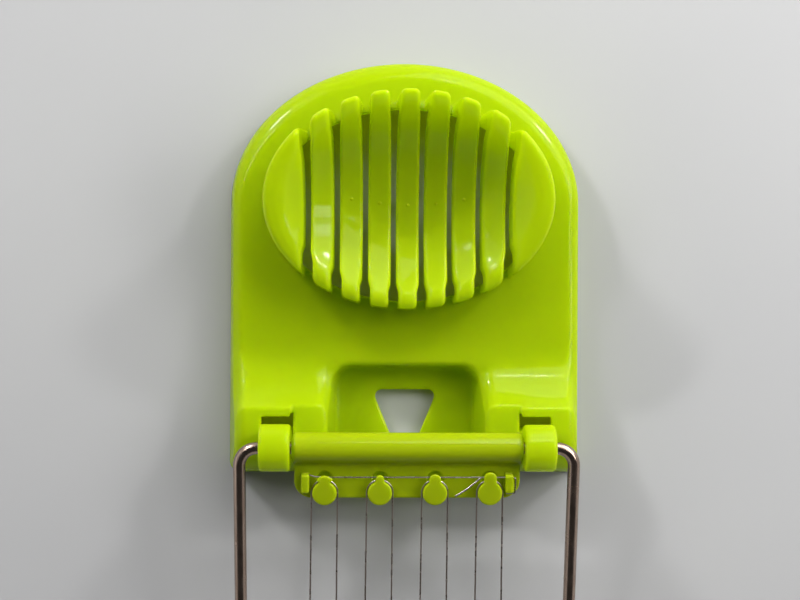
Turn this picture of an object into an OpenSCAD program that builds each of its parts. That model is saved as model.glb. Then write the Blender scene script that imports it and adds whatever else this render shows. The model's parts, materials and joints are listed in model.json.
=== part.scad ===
// Egg slicer: a moulded base with a slotted egg cradle, and a hinged steel bow strung with cutting wire.
// Stored open: the bow lies behind the base and its handle rests on the table.
// +X is to the right, +Y runs from the hinge to the arched end, +Z is up.

/* [Base] */
// Width of the base
base_w = 84; // [74:1:110]
// Length of the base from its rear edge to the tip of the arch
base_l = 98.5; // [92:0.5:130]
// How far the arched end reaches beyond the straight sides
arch_rise = 34; // [24:1:42]
// Radius of the two rear corners
rear_corner_r = 3; // [1:0.5:6]
// Height of the deck above the table
deck_h = 9.5; // [8.5:0.25:11]
// Wall of the moulding
wall = 2; // [1.6:0.1:2.4]

/* [Shoulders] */
// Height of the flat tops of the two raised shoulders
shoulder_h = 17; // [15:0.25:17.5]
// Distance from the rear edge to where the flat tops end
shoulder_l = 16.8; // [15.5:0.1:19]
// Length of the hollow sweep from the shoulder tops down to the deck
sweep_l = 15; // [10:0.5:18]
// Radius that rounds the shoulders down to the rear edge
rear_round_r = 6; // [3:0.5:8]
// Width of the recess between the shoulders
recess_w = 34.8; // [30:0.2:36]
// Distance from the rear edge to the front of the recess
recess_l = 26.4; // [24:0.2:30]
// Height of the recess floor above the table
recess_floor_h = 3; // [2.5:0.1:5]
// Height of the wall that closes the recess at the rear
recess_lip_h = 10; // [6:0.5:13]
// Width of the triangular hole at its wide end
triangle_w = 13.6; // [9:0.2:18]
// Length of the triangular hole
triangle_l = 14.5; // [9:0.5:17]
// Distance from the front of the recess to the wide end of the hole
triangle_gap = 5.9; // [4:0.1:8]

/* [Egg cradle] */
// Width of the cradle over its rim
cradle_w = 65.5; // [60:0.5:70]
// Length of the cradle over its rim, across the wires
cradle_l = 47.8; // [44:0.2:50]
// Distance from the rear edge to the middle of the cradle
cradle_y = 63.7; // [62:0.1:72]
// Wall of the skirt under the rim
skirt_t = 1.9; // [1.5:0.1:2.4]
// Height of the rim above the table on the side of the hinge
rim_low_h = 20.1; // [18:0.1:23]
// Height of the rim above the table on the side of the arch
rim_high_h = 33.3; // [29:0.1:36]
// Gap between the closed wires and the bottom of the bowl above them
bowl_wire_gap = 0.35; // [0.2:0.05:1]
// Radius of the bowl about the long axis of the egg
bowl_r = 27; // [25:0.5:29]
// Half length of the egg shape that hollows the bowl
bowl_half_l = 34.8; // [32:0.2:36]
// Distance from the rear edge to the lowest point of the bowl
bowl_y = 59.7; // [58:0.1:62]
// Thickness of the ribs under the bowl
rib_t = 3; // [2:0.1:4]
// Number of cutting slots, one for each run of wire
slot_count = 8; // [8:2:8]
// Distance between neighbouring slots
slot_pitch = 6.45; // [6:0.05:6.8]
// Width of a slot at the deck
slot_w = 1.7; // [1.4:0.05:2]
// Width of a slot at the top of the cradle
slot_top_w = 2.7; // [2:0.05:3.2]

/* [Hinge] */
// Height of the hinge axis above the table
axis_h = 22; // [21:0.1:24]
// Distance from the rear edge to the hinge axis
axis_y = 8.2; // [6.5:0.1:10]
// Outer radius of the hinge lugs
lug_r = 5.3; // [4:0.1:6]
// Width of each hinge lug
lug_w = 7.3; // [5:0.1:8]
// Distance from the middle of the base to the middle of each lug
lug_x = 29.8; // [28:0.1:32]
// Length of the window in front of each lug
window_l = 2.4; // [1.5:0.1:3]
// Running clearance of the rod in a lug, on the radius
hinge_clearance = 0.05; // [0.03:0.01:0.09]

/* [Steel bow] */
// Diameter of the rod
rod_d = 2.8; // [2:0.1:3.4]
// Distance between the centres of the two legs
leg_span = 75.6; // [72:0.2:80]
// How far the cross rod of the closed bow stands beyond the tip of the arch
bow_overhang = 11.2; // [10.8:0.1:16]
// Bend radius where a leg turns into its lug
near_bend_r = 4.1; // [3:0.1:5]
// Bend radius where a leg turns into the cross rod
far_bend_r = 6; // [4:0.5:9]
// How far the rod ends reach into the tension bar
rod_grip = 8; // [5:0.5:12]
// Gap between the closed legs and the deck
closed_gap = 0.5; // [0.3:0.1:1.5]

/* [Tension bar] */
// Diameter of the tension bar
bar_d = 7; // [5.5:0.1:7.6]
// Gap between an end of the bar and its lug
bar_end_gap = 0.4; // [0.3:0.1:1]
// Distance from the hinge axis to the edge of the peg flange
flange_l = 11.5; // [9.5:0.1:12.5]
// Thickness of the peg flange
flange_t = 2.2; // [1.6:0.1:2.6]
// Height of the top of the peg flange above the plane of the legs
flange_top = 1; // [0.6:0.1:1.2]
// Distance from the hinge axis to the centres of the pegs
peg_u = 9.7; // [9:0.1:11]
// How much closer together the pegs are than every second slot
peg_tuck = 0.5; // [0:0.05:0.6]
// Radius of the two free corners of the peg flange
flange_corner_r = 4; // [2:0.5:5]
// Thickness of the head of a peg
peg_head_t = 0.8; // [0.6:0.1:1]
// Length of the hook that a peg head sends over the wire
peg_hook_l = 4; // [3.5:0.1:4.4]
// Width of the hook of a peg head
peg_hook_w = 2.7; // [2:0.1:3]

/* [Handle bar] */
// Diameter of the handle bar
handle_d = 6; // [5:0.2:7]
// Distance from the cross rod to the wire pegs of the handle bar
handle_peg_gap = 7; // [6.9:0.1:9]
// How much further apart the handle's pegs are than every second slot
handle_peg_spread = 0.2; // [0:0.05:0.3]
// Gap between the two runs that share a peg of the handle
handle_pair_gap = 6.6; // [6.2:0.1:6.8]
// Thickness of the handle's peg flange
handle_flange_t = 2; // [1.4:0.1:2.4]
// How far the finger lip stands out beyond the bar
lip_l = 4; // [0:0.5:7]

/* [Cutting wire] */
// Diameter of the cutting wire
wire_d = 0.4; // [0.3:0.05:0.5]
// Distance between the two runs that share a peg of the tension bar
pair_gap = 6; // [5.8:0.05:6.3]
// Height of the wire above the plane of the legs at the tension bar
wire_near_h = 2.1; // [1.8:0.05:2.4]
// Gap between the closed wires and the deck at the tip of the arch
wire_deck_gap = 0.3; // [0.2:0.05:0.6]

/* [Hidden] */
$fn = 64;
eps = 0.01;
touch = 0.05; // play between a wire and the boss that it is bent round
deck_t = wall;
half_w = base_w / 2;
straight_l = base_l - arch_rise;
sweep_rise = shoulder_h - deck_h;
sweep_r = (sweep_l * sweep_l + sweep_rise * sweep_rise) / (2 * sweep_rise);
sweep_end_y = shoulder_l + sweep_l;

rod_r = rod_d / 2;
leg_x = leg_span / 2;
lug_in = lug_x - lug_w / 2;
lug_out = lug_x + lug_w / 2;
bar_r = bar_d / 2;
bar_half_l = lug_in - bar_end_gap;
rod_end_x = bar_half_l - rod_grip;
wire_r = wire_d / 2;
peg_pitch = 2 * slot_pitch - peg_tuck;
far_peg_pitch = 2 * slot_pitch + handle_peg_spread;
handle_r = handle_d / 2;
handle_half_l = leg_x - far_bend_r - 0.6;

// The closed bow leans on the deck where its legs cross the outline; the open bow leans on its handle.
leg_cross_y = straight_l + arch_rise * sqrt(1 - pow((leg_x - rod_r) / half_w, 2));
closed_drop = axis_h - deck_h - rod_r - closed_gap;
closed_angle = atan2(closed_drop, leg_cross_y - axis_y);
bow_l = snap((base_l + bow_overhang - axis_y) / cos(closed_angle));
open_angle = asin((axis_h - handle_r) / bow_l);
swing = 180 + open_angle + closed_angle;

// The closed wires pass just over the tip of the arch, and the bowl's lowest point is just over the wires.
far_peg_u = bow_l - handle_peg_gap;
near_y = axis_y + peg_u * cos(closed_angle) - wire_near_h * sin(closed_angle);
near_z = axis_h - peg_u * sin(closed_angle) - wire_near_h * cos(closed_angle);
tip_run = base_l - near_y;
tip_fall = near_z - deck_h - wire_deck_gap - wire_d / 2;
far_run = axis_y + far_peg_u * cos(closed_angle) - near_y;
far_fall = near_z - axis_h + far_peg_u * sin(closed_angle);
wire_far_h = (tip_run * far_fall - tip_fall * far_run)
    / (tip_run * cos(closed_angle) + tip_fall * sin(closed_angle));
bowl_h = near_z - tip_fall * (bowl_y - near_y) / tip_run + wire_d / 2 + bowl_wire_gap;

// The origin is the bottom centre of the whole part in its open pose.
lip_end_u = bow_l + (lip_l > 0 ? handle_r * 0.55 + lip_l : 0);
lip_rear = lip_end_u * cos(open_angle) + handle_flange_t / 2 * sin(open_angle);
rear_reach = max(bow_l * cos(open_angle) + handle_r, lip_rear) - axis_y;
origin_y = (base_l - rear_reach) / 2;

near_loop_r = pair_gap / 2;
far_loop_r = handle_pair_gap / 2;
wire_run_u = far_peg_u - peg_u;
wire_tilt = atan2(wire_near_h + wire_far_h, wire_run_u);
wire_run_l = snap(wire_run_u / cos(wire_tilt));
boss_r = near_loop_r - wire_r - touch;
far_boss_r = far_loop_r - wire_r - touch;
head_under = wire_near_h + near_loop_r * sin(wire_tilt) + wire_r + touch;
far_head_under = wire_far_h + far_loop_r * sin(wire_tilt) + wire_r + touch;
head_r = near_loop_r - touch;
post_w = 2;
post_x = 1.5 * peg_pitch + near_loop_r + wire_r + 0.3 + post_w / 2;
post_u = [5.4, 9.7];
tie_u = peg_u - near_loop_r - 2.5 * wire_r;
far_post_r = 1.1;
far_post_x = far_wire_x(slot_count - 1) + wire_r + touch + far_post_r;
hook_hole_r = peg_hook_w / 2 + 0.4;

lime = [0.66, 0.82, 0.1];
steel = [0.62, 0.62, 0.63];
bright = [0.8, 0.8, 0.8];

// ---- helpers ----

// A length rounded to a hundredth, so that pieces laid end to end meet exactly.
function snap(x) = round(x * 100) / 100;

// Middle of slot i, middle of peg k, and both ends of the run of wire that falls into slot i.
function slot_x(i) = (i - (slot_count - 1) / 2) * slot_pitch;
function peg_x(k) = (k - 1.5) * peg_pitch;
function wire_x(i) = peg_x(floor(i / 2)) + (i % 2 == 0 ? -1 : 1) * pair_gap / 2;
function far_wire_x(i) = (floor((i + 1) / 2) - 2) * far_peg_pitch + (i % 2 == 0 ? 1 : -1) * handle_pair_gap / 2;

function arc(cx, cy, rx, ry, from, to, steps) =
    [for (i = [0:steps]) let (a = from + (to - from) * i / steps) [cx + rx * cos(a), cy + ry * sin(a)]];

// Outline of the base, moved inward by inset.
function outline(inset) = let (
    hw = half_w - inset,
    rc = max(rear_corner_r - inset, 0.6))
    concat(
        arc(hw - rc, inset + rc, rc, rc, -90, 0, 6),
        arc(0, straight_l, hw, arch_rise - inset, 0, 180, 56),
        arc(-hw + rc, inset + rc, rc, rc, 180, 270, 6));

// Side view of the shoulders in Y and Z, moved inward by inset.
function shoulder_side(inset) = let (
    top = shoulder_h - inset,
    rr = rear_round_r - inset,
    sr = sweep_r + inset,
    cz = deck_h + sweep_r,
    crest = asin(sweep_l / sweep_r))
    concat(
        [[sweep_end_y, -1], [inset, -1]],
        arc(inset + rr, top - rr, rr, rr, 180, 90, 8),
        [for (i = [0:12]) let (a = crest * (1 - i / 12)) [sweep_end_y - sr * sin(a), min(cz - sr * cos(a), top)]]);

// A polygon whose corners are rounded by r.
function unit(v) = v / norm(v);
function rounded(points, r, steps = 5) = let (n = len(points)) [
    for (i = [0:n - 1]) let (
        p = points[i],
        a = unit(points[(i + n - 1) % n] - p),
        b = unit(points[(i + 1) % n] - p),
        half = acos(a * b) / 2,
        c = p + unit(a + b) * r / sin(half),
        start = c + (a * (r / tan(half)) + p - c),
        from = atan2(start[1] - c[1], start[0] - c[0]),
        turn = (cross(a, b) > 0 ? -1 : 1) * (180 - 2 * half))
    for (k = [0:steps]) c + r * [cos(from + turn * k / steps), sin(from + turn * k / steps)]];

function rect(x0, y0, x1, y1) = [[x0, y0], [x1, y0], [x1, y1], [x0, y1]];

module rod_x(x0, x1, r) {
    translate([x0, 0, 0]) rotate([0, 90, 0]) cylinder(h = x1 - x0, r = r);
}

module both_sides() {
    children();
    mirror([1, 0, 0]) children();
}

// Quarter or half ring of round section in the XY plane, from angle from through span.
module ring_arc(ring_r, r, from, span) {
    rotate([0, 0, from]) rotate_extrude(angle = span) translate([ring_r, 0]) circle(r = r);
}

// Moves the finished part so that its bottom centre is the origin.
module on_table() {
    translate([0, -origin_y, 0]) children();
}

// Places what is modelled about the hinge axis, with the legs running along -Y, in the open pose.
module on_bow() {
    on_table() translate([0, axis_y, axis_h]) rotate([open_angle, 0, 0]) children();
}

// The plane of the wire runs: the centres of the pegs lie on its X axis, and the runs go along -Y.
module on_wire_plane() {
    on_bow() translate([0, -peg_u, wire_near_h]) rotate([wire_tilt, 0, 0]) children();
}

// ---- base ----

// Solid swept along the egg's long axis: the egg shape of the bowl, grown by extra.
module egg_shape(extra) {
    r = bowl_r + extra;
    half_l = bowl_half_l + extra;
    translate([0, bowl_y, bowl_h + bowl_r]) rotate([0, 90, 0]) rotate_extrude()
        polygon(concat([[0, -half_l]], arc(0, 0, r, half_l, -78, 78, 26), [[0, half_l]]));
}

module cradle_prism(inset, z0, z1) {
    translate([0, cradle_y, z0]) linear_extrude(z1 - z0)
        polygon(arc(0, 0, cradle_w / 2 - inset, cradle_l / 2 - inset, 0, 355, 71));
}

// Everything above the sloping plane of the rim.
module above_rim() {
    slope = atan2(rim_high_h - rim_low_h, cradle_l);
    translate([0, cradle_y - cradle_l / 2, rim_low_h]) rotate([slope, 0, 0])
        translate([-base_w / 2, -base_l, 0]) cube([base_w, 3 * base_l, 2 * rim_high_h]);
}

module slots() {
    for (i = [0:slot_count - 1]) translate([slot_x(i), cradle_y + cradle_l, 0]) rotate([90, 0, 0])
        linear_extrude(2 * cradle_l) polygon([
            [-slot_w / 2, deck_h - eps], [slot_w / 2, deck_h - eps],
            [slot_top_w / 2, rim_high_h + 1], [-slot_top_w / 2, rim_high_h + 1]]);
}

module shoulders(inset) {
    intersection() {
        translate([-half_w, 0, 0]) rotate([90, 0, 90]) linear_extrude(base_w) polygon(shoulder_side(inset));
        translate([0, 0, -inset]) linear_extrude(shoulder_h + 1) polygon(outline(inset));
    }
}

module recess_space() {
    x = recess_w / 2;
    translate([0, 0, recess_floor_h]) linear_extrude(shoulder_h)
        polygon(rounded(rect(-x, wall, x, recess_l), 3));
    translate([-x, -1, recess_lip_h]) cube([recess_w, wall + 2, shoulder_h]);
}

module recess_walls() {
    x = recess_w / 2 + wall;
    translate([0, 0, recess_floor_h - wall]) linear_extrude(shoulder_h)
        polygon(rounded(rect(-x, eps, x, recess_l + wall), 4));
}

module triangle_hole() {
    y1 = recess_l - triangle_gap;
    y0 = y1 - triangle_l;
    w0 = triangle_w * 0.34;
    translate([0, 0, -1]) linear_extrude(recess_floor_h + 2)
        polygon(rounded([[-w0 / 2, y0], [w0 / 2, y0], [triangle_w / 2, y1], [-triangle_w / 2, y1]], 1.2));
}

module lugs() {
    both_sides() {
        translate([0, axis_y, axis_h]) rod_x(lug_in, lug_out, lug_r);
        translate([lug_in, axis_y - lug_r, deck_h - deck_t])
            cube([lug_w, 2 * lug_r, axis_h - deck_h + deck_t]);
    }
}

module windows() {
    both_sides() translate([lug_in, axis_y + lug_r, deck_h - deck_t])
        cube([lug_w, window_l, shoulder_h]);
}

module underside() {
    difference() {
        union() {
            translate([0, 0, -1]) linear_extrude(deck_h - deck_t + 1) polygon(outline(wall));
            shoulders(wall);
        }
        recess_walls();
    }
}

module base_shell() {
    color(lime) on_table() difference() {
        union() {
            difference() {
                union() {
                    linear_extrude(deck_h) polygon(outline(0));
                    shoulders(0);
                }
                underside();
                windows();
            }
            lugs();
        }
        recess_space();
        triangle_hole();
        cradle_prism(skirt_t, deck_h - deck_t - 1, deck_h + 1);
        both_sides() translate([0, axis_y, axis_h])
            rod_x(lug_in - 1, lug_out + 1, rod_r + hinge_clearance);
    }
}

module egg_cradle() {
    color(lime) on_table() difference() {
        cradle_prism(0, deck_h, rim_high_h + 1);
        above_rim();
        egg_shape(0);
        difference() {
            cradle_prism(skirt_t, deck_h - 1, rim_high_h);
            egg_shape(rib_t);
        }
        slots();
    }
}

// ---- bow ----

module steel_bow() {
    color(steel) on_bow() {
        both_sides() {
            rod_x(rod_end_x, leg_x - near_bend_r, rod_r);
            translate([leg_x - near_bend_r, -near_bend_r, 0]) ring_arc(near_bend_r, rod_r, 0, 90);
            translate([leg_x, -near_bend_r, 0]) rotate([90, 0, 0])
                cylinder(h = bow_l - near_bend_r - far_bend_r, r = rod_r);
            translate([leg_x - far_bend_r, far_bend_r - bow_l, 0]) ring_arc(far_bend_r, rod_r, -90, 90);
        }
        translate([0, -bow_l, 0]) rod_x(far_bend_r - leg_x, leg_x - far_bend_r, rod_r);
    }
}

// Head of a peg: a disc with a hook that reaches back over the wire.
module peg_head() {
    translate([0, 0, head_under]) {
        cylinder(h = peg_head_t, r = head_r);
        translate([-peg_hook_w / 2, 0, 0]) cube([peg_hook_w, peg_hook_l, peg_head_t]);
    }
}

module tension_bar() {
    boss_h = head_under - flange_top + eps;
    flange_half_l = bar_half_l - bar_end_gap;
    color(lime) on_bow() difference() {
        union() {
            rod_x(-bar_half_l, bar_half_l, bar_r);
            translate([0, 0, flange_top - flange_t]) linear_extrude(flange_t) difference() {
                polygon(rounded(rect(-flange_half_l, -flange_l, flange_half_l, flange_corner_r), flange_corner_r));
                translate([-base_w / 2, 0]) square([base_w, base_w]);
                for (k = [0:3]) translate([peg_x(k), peg_hook_l - peg_u - hook_hole_r + 0.5]) circle(r = hook_hole_r);
            }
            for (k = [0:3]) translate([peg_x(k), -peg_u, 0]) {
                translate([0, 0, flange_top - eps]) cylinder(h = boss_h + eps, r = boss_r);
                peg_head();
            }
            both_sides() translate([post_x - post_w / 2, -post_u[1], flange_top - eps])
                cube([post_w, post_u[1] - post_u[0], head_under + peg_head_t - flange_top]);
        }
        both_sides() {
            rod_x(rod_end_x - 0.1, bar_half_l + 1, rod_r + touch / 2);
            translate([post_x - post_w, -tie_u - wire_r - touch, wire_near_h - wire_r - touch])
                cube([2 * post_w, 2 * (wire_r + touch), 4 * peg_head_t]);
        }
    }
}

module handle_bar() {
    flange_half_l = far_post_x + far_post_r + 1;
    inner = far_peg_u - far_loop_r;
    flange_under = wire_far_h - wire_r - 0.7;
    lip_half_l = handle_half_l * 0.6;
    color(lime) on_bow() difference() {
        union() {
            translate([0, -bow_l, 0]) rod_x(-handle_half_l, handle_half_l, handle_r);
            translate([0, 0, -flange_under]) linear_extrude(handle_flange_t)
                polygon(rounded(rect(-flange_half_l, -bow_l, flange_half_l, -inner), 2));
            if (lip_l > 0) translate([0, 0, -handle_flange_t / 2]) linear_extrude(handle_flange_t)
                polygon(rounded(rect(-lip_half_l, -lip_end_u, lip_half_l, -bow_l), 2.5));
            for (k = [-1:1]) translate([k * far_peg_pitch, -far_peg_u, 0]) handle_peg(far_boss_r, flange_under);
            for (s = [-1, 1]) translate([s * far_post_x, -far_peg_u, 0]) handle_peg(far_post_r, flange_under);
        }
        translate([0, -bow_l, 0]) rod_x(-handle_half_l - 1, handle_half_l + 1, rod_r + touch / 2);
    }
}

// Peg under the handle's flange, with a head just wider than the wire bent round it.
module handle_peg(r, flange_under) {
    translate([0, 0, -far_head_under]) cylinder(h = far_head_under - flange_under + eps, r = r);
    translate([0, 0, -far_head_under - peg_head_t]) cylinder(h = peg_head_t + eps, r = r + wire_r);
}

// ---- wire ----

module wire_run(i) {
    color(bright) on_wire_plane() segment([wire_x(i), 0, 0], [far_wire_x(i), -wire_run_l, 0], wire_r);
}

module peg_loop(k) {
    color(bright) on_wire_plane() translate([peg_x(k), 0, 0]) ring_arc(near_loop_r, wire_r, 0, 180);
}

module handle_loop(k) {
    color(bright) on_wire_plane() translate([(k - 1) * far_peg_pitch, -wire_run_l, 0])
        ring_arc(far_loop_r, wire_r, 180, 180);
}

// The wire's two ends are wound round the outer posts of the handle.
module wire_end(side) {
    color(bright) on_wire_plane() translate([side * far_post_x, -wire_run_l, 0])
        ring_arc(far_post_x - far_wire_x(slot_count - 1), wire_r, side > 0 ? 180 : 90, 270);
}

// Thin wire drawn across the pegs under their hooks, held in slits in both end posts and bent round them.
module tie_wire() {
    out = post_x + post_w / 2 + wire_r + touch;
    back = post_u[1] + wire_r + touch;
    tail_from = [peg_x(3) - near_loop_r - wire_d, -tie_u, 0];
    tail_to = [peg_x(3) - 1.35 * pair_gap, -flange_l + 1, wire_d];
    color(bright) on_bow() translate([0, 0, wire_near_h]) {
        rod_x_at(-out, out, -tie_u);
        both_sides() {
            translate([out, -tie_u, 0]) rotate([90, 0, 0]) cylinder(h = back - tie_u, r = wire_r);
            translate([out, -tie_u, 0]) sphere(r = wire_r);
            translate([out, -back, 0]) sphere(r = wire_r);
        }
        rod_x_at(post_x - post_w / 2, out, -back);
        rod_x_at(-out, -post_x + post_w / 2, -back);
        segment(tail_from, tail_to, wire_r);
    }
}

// Straight round bar from one point to another.
module segment(from, to, r) {
    d = to - from;
    translate(from) rotate([0, acos(d[2] / norm(d)), atan2(d[1], d[0])]) cylinder(h = norm(d), r = r);
}

module rod_x_at(x0, x1, y) {
    translate([0, y, 0]) rod_x(x0, x1, wire_r);
}

base_shell();
egg_cradle();
steel_bow();
tension_bar();
handle_bar();
for (i = [0:slot_count - 1])
    wire_run(i);
for (k = [0:3])
    peg_loop(k);
for (k = [0:2])
    handle_loop(k);
wire_end(-1);  // wire_end_left
wire_end(1);  // wire_end_right
tie_wire();
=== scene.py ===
"""Egg slicer, open: a lime plastic base with a slotted egg cradle, and a hinged steel bow strung with wire.

Lengths are in millimetres until a mesh is made, and X is to the right, Y from the hinge to the arched
end, Z up. The plastic pieces are one-piece mouldings whose faces run into each other over fillets, so
each is a distance field worked out on a grid of points and skinned; rods and wires are round sections
carried along a path.
"""

import json
import logging
from abc import ABC, abstractmethod
from dataclasses import dataclass
from enum import Enum
from math import asin, cos, pi, sin

import bpy
import numpy as np
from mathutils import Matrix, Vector


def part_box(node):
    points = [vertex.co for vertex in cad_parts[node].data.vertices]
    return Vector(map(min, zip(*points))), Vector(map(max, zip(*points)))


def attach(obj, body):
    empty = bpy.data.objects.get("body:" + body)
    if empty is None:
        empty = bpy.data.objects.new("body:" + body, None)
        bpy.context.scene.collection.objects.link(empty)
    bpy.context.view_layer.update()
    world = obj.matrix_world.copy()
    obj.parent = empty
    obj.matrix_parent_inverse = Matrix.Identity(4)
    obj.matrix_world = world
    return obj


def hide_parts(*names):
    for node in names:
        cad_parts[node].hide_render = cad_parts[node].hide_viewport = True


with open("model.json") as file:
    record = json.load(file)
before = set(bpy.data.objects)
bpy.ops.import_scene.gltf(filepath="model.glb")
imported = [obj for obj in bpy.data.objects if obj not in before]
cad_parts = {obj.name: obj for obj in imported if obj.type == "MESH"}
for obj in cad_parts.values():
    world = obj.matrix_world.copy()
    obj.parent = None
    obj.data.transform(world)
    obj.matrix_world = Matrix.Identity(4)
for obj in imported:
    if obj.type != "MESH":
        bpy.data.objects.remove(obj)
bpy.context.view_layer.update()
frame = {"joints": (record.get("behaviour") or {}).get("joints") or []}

log = logging.getLogger("egg_slicer")
MM = 0.001
# keep a division or a root away from nought
LEAST_SLOPE = 1e-6
NEARLY_NOUGHT = 1e-9
Array = np.ndarray
Socket = bpy.types.NodeSocket
Triple = tuple[float, float, float]


class Body(Enum):
    """The two bodies that a piece can ride on."""

    BASE = "base"
    FRAME = "cutting_frame"


class Slot(Enum):
    """The record's material slots."""

    PLASTIC = "lime_plastic"
    ROD = "steel_rod"
    WIRE = "cutting_wire"


# ---- fields: negative inside the material, in millimetres ----


def both(a: Array, b: Array, r: float | Array = 0.0) -> Array:
    """Region inside both a and b, its edge rounded to radius r.

    Args:
        a: Field of the first region.
        b: Field of the second region.
        r: Radius of the rounded edge.

    Returns:
        The larger of the two, and within r of the edge the distance to a circle of radius r, less r.
    """
    return np.minimum(np.maximum(a, b), -r) + np.hypot(np.maximum(a + r, 0.0), np.maximum(b + r, 0.0))


def either(a: Array, b: Array, r: float | Array = 0.0) -> Array:
    """Region inside a or b, the inner corner between them filled to radius r."""
    return -both(-a, -b, r)


def without(a: Array, b: Array, r: float | Array = 0.0) -> Array:
    """Region inside a and outside b, the edge rounded to radius r."""
    return both(a, -b, r)


def ellipse(x: Array, y: Array, a: float, b: float) -> Array:
    """Field of an ellipse about the origin.

    The distance is the value of the ellipse's own equation over its slope, which is exact at the outline.

    Args:
        x: First coordinate.
        y: Second coordinate.
        a: Half axis along the first.
        b: Half axis along the second.

    Returns:
        The field at each point.
    """
    f = np.sqrt((x / a) ** 2 + (y / b) ** 2)
    slope = np.sqrt((x / a**2) ** 2 + (y / b**2) ** 2)
    return (f - 1.0) * f / np.maximum(slope, LEAST_SLOPE)


def step_between(t: Array, low: float, high: float) -> Array:
    """Smooth step that is 0 below low and 1 above high: three times s squared less twice s cubed."""
    s = np.clip((t - low) / (high - low), 0.0, 1.0)
    return s * s * (3.0 - 2.0 * s)


class Moulding(ABC):
    """A plastic piece given by a field, skinned with one net of four-sided faces.

    The constants say how a point is landed on the surface: how far apart the field is probed for its
    gradient, how many moves the point makes, the least slope that a move divides by, and the longest move
    as a share of the grid's step.
    """

    PROBE = 0.01
    MOVES = 4
    LEAST_STEEP = 0.05
    LONGEST_MOVE = 0.4

    name: str
    low: Triple
    high: Triple
    step: float

    @abstractmethod
    def field(self, x: Array, y: Array, z: Array) -> Array:
        """The piece's field.

        Args:
            x: First coordinate of each point, on the field's own axes.
            y: Second coordinate.
            z: Third coordinate.

        Returns:
            Its value at each point: negative in the plastic.
        """

    def slope(self, p: Array) -> Array:
        """Gradient of the field: its change from just below to just above each point, over the distance.

        Args:
            p: N by 3 points.

        Returns:
            N by 3 gradients.
        """
        out = np.empty_like(p)
        for k in range(3):
            d = np.zeros(3)
            d[k] = self.PROBE
            out[:, k] = (self.field(*(p + d).T) - self.field(*(p - d).T)) / (2 * self.PROBE)
        return out

    def land(self, points: Array) -> Array:
        """Moves points onto the surface.

        A move is the field's value over the gradient's length squared, times the gradient, cut short where
        it is longer than a share of the grid's step.

        Args:
            points: N by 3 points near the surface, which are changed.

        Returns:
            The same points, landed.
        """
        for _ in range(self.MOVES):
            g = self.slope(points)
            f = self.field(*points.T)
            move = f[:, None] * g / np.maximum((g * g).sum(1), self.LEAST_STEEP)[:, None]
            size = np.maximum(np.linalg.norm(move, axis=1), NEARLY_NOUGHT)
            points -= move * np.minimum(1.0, self.LONGEST_MOVE * self.step / size)[:, None]
        return points

    def skin(self) -> tuple[Array, Array]:
        """Points and faces of the surface where the field is zero.

        Each grid cell that the surface passes through gets one point, at the mean of the crossings on its
        edges, which then lands on the surface. Each grid edge that crosses the surface gets one face
        between its four cells.

        Returns:
            An array of points and an array of four-sided faces, which point outward.
        """
        axes = [np.arange(a, b + self.step, self.step) for a, b in zip(self.low, self.high)]
        grid = np.meshgrid(*axes, indexing="ij")
        value = self.field(*grid)
        inside = value < 0
        cells = tuple(n - 1 for n in value.shape)
        total = np.zeros(cells + (3,))
        count = np.zeros(cells)
        edges = []
        for k in range(3):
            lo = tuple(slice(0, -1) if i == k else slice(None) for i in range(3))
            hi = tuple(slice(1, None) if i == k else slice(None) for i in range(3))
            cross = inside[lo] != inside[hi]
            i, j, m = np.nonzero(cross)
            v0, v1 = value[lo][cross], value[hi][cross]
            at = np.stack([axes[0][i], axes[1][j], axes[2][m]], 1)
            at[:, k] += self.step * v0 / (v0 - v1)
            a, b = (k + 1) % 3, (k + 2) % 3
            around = []
            for da, db in ((0, 0), (-1, 0), (-1, -1), (0, -1)):
                c = np.stack([i, j, m], 1)
                c[:, a] += da
                c[:, b] += db
                around.append(c)
                keep = np.all((c >= 0) & (c < cells), 1)
                np.add.at(total, tuple(c[keep].T), at[keep])
                np.add.at(count, tuple(c[keep].T), 1.0)
            edges.append((np.stack(around, 1), v0 < v1))
        active = count > 0
        number = np.full(cells, -1)
        number[active] = np.arange(int(active.sum()))
        points = self.land(total[active] / count[active][:, None])
        faces = []
        for around, outward in edges:
            ok = np.all((around >= 0) & (around < np.array(cells)), (1, 2))
            quad = number[tuple(np.moveaxis(around[ok], -1, 0))]
            way = outward[ok]
            faces.append(np.where(way[:, None], quad, quad[:, ::-1]))
        return points, np.concatenate(faces)

    def place(self, points: Array) -> Array:
        """Points of the field's own axes as points of the shared frame."""
        return points

    def build(self, finish: "Finish", body: Body, nodes: tuple[str, ...]) -> bpy.types.Object:
        """Makes the piece, dresses it, hangs it on its body and hides the CAD nodes that it stands for."""
        points, faces = self.skin()
        return make_piece(self.name, self.place(points), faces, finish, body, nodes)


# ---- meshes ----


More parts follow.
